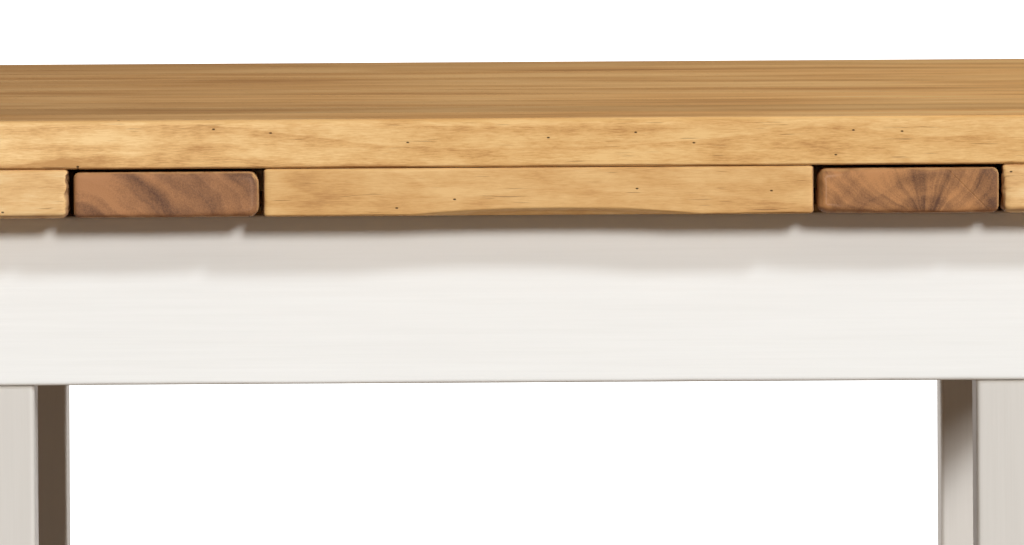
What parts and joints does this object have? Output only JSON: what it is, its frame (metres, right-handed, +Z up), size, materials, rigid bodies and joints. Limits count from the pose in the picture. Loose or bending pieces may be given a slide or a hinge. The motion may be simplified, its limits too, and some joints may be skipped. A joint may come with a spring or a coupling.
{
  "type": "extending dining table",
  "caption": "Painted-frame dining table with a pine top, a pull-out leaf carriage with a finger-pull crossbar at each end, and loose leaves stored in the frame.",
  "frame": {"origin": "on the floor, under the middle of the top", "axes": "+Z up, Y along the table's length with the front end facing -Y, X across its width"},
  "size_m": [1, 1.4, 0.76],
  "materials": {
    "honey_pine": "waxed, satin",
    "runner_pine": "waxed, end grain darker",
    "plain_pine": "planed, unfinished",
    "dowel_beech": "planed, glued in",
    "white_paint": "off-white satin paint over wood",
    "zinc_steel": "zinc plated",
    "felt": "pressed felt",
    "glide_plastic": "matt"
  },
  "bodies": {
    "table": {"table_top": "honey_pine", "front_left_lip": "honey_pine", "back_left_lip": "honey_pine", "front_right_lip": "honey_pine", "back_right_lip": "honey_pine", "left_side_strip": "honey_pine", "right_side_strip": "honey_pine", "front_outer_guides": "plain_pine", "back_outer_guides": "plain_pine", "front_inner_guides": "plain_pine", "back_inner_guides": "plain_pine", "front_runner_bearer": "plain_pine", "back_runner_bearer": "plain_pine", "centre_bearer": "plain_pine", "centre_stop": "plain_pine", "front_leaf_slat": "plain_pine", "back_leaf_slat": "plain_pine", "slat_cleats": "plain_pine", "front_left_brace": "plain_pine", "front_right_brace": "plain_pine", "back_left_brace": "plain_pine", "back_right_brace": "plain_pine", "apron_dowels": "dowel_beech", "front_end_apron": "white_paint", "back_end_apron": "white_paint", "left_side_apron": "white_paint", "right_side_apron": "white_paint", "front_left_leg": "white_paint", "front_right_leg": "white_paint", "back_left_leg": "white_paint", "back_right_leg": "white_paint", "top_screws": "zinc_steel", "bearer_screws": "zinc_steel", "slat_screws": "zinc_steel", "brace_screws": "zinc_steel", "bracket_screws": "zinc_steel", "top_brackets": "zinc_steel", "leg_hanger_bolts": "zinc_steel", "leg_bolt_washers": "zinc_steel", "leg_bolt_nuts": "zinc_steel", "foot_glides": "glide_plastic"},
    "front_carriage": {"front_left_runner": "runner_pine", "front_right_runner": "runner_pine", "front_crossbar": "honey_pine", "front_outer_tie": "plain_pine", "front_rear_tie": "plain_pine", "front_carriage_screws": "zinc_steel", "front_leaf_pads": "felt"},
    "back_carriage": {"back_left_runner": "runner_pine", "back_right_runner": "runner_pine", "back_crossbar": "honey_pine", "back_outer_tie": "plain_pine", "back_rear_tie": "plain_pine", "back_carriage_screws": "zinc_steel", "back_leaf_pads": "felt"},
    "lower_leaf": {"lower_leaf_panel": "honey_pine", "lower_leaf_cleats": "plain_pine"},
    "upper_leaf": {"upper_leaf_panel": "honey_pine", "upper_leaf_cleats": "plain_pine"}
  },
  "joints": [
    {"name": "front_carriage_slide", "type": "slide", "parent": "table", "child": "front_carriage", "axis": [0, -1, 0], "range_m": [0, 0.4]},
    {"name": "back_carriage_slide", "type": "slide", "parent": "table", "child": "back_carriage", "axis": [0, 1, 0], "range_m": [0, 0.4]},
    {"name": "lower_leaf_slide", "type": "slide", "parent": "table", "child": "lower_leaf", "axis": [0, 1, 0], "range_m": [-0.09, 0.09]},
    {"name": "upper_leaf_slide", "type": "slide", "parent": "table", "child": "upper_leaf", "axis": [0, 1, 0], "range_m": [-0.09, 0.09]}
  ]
}
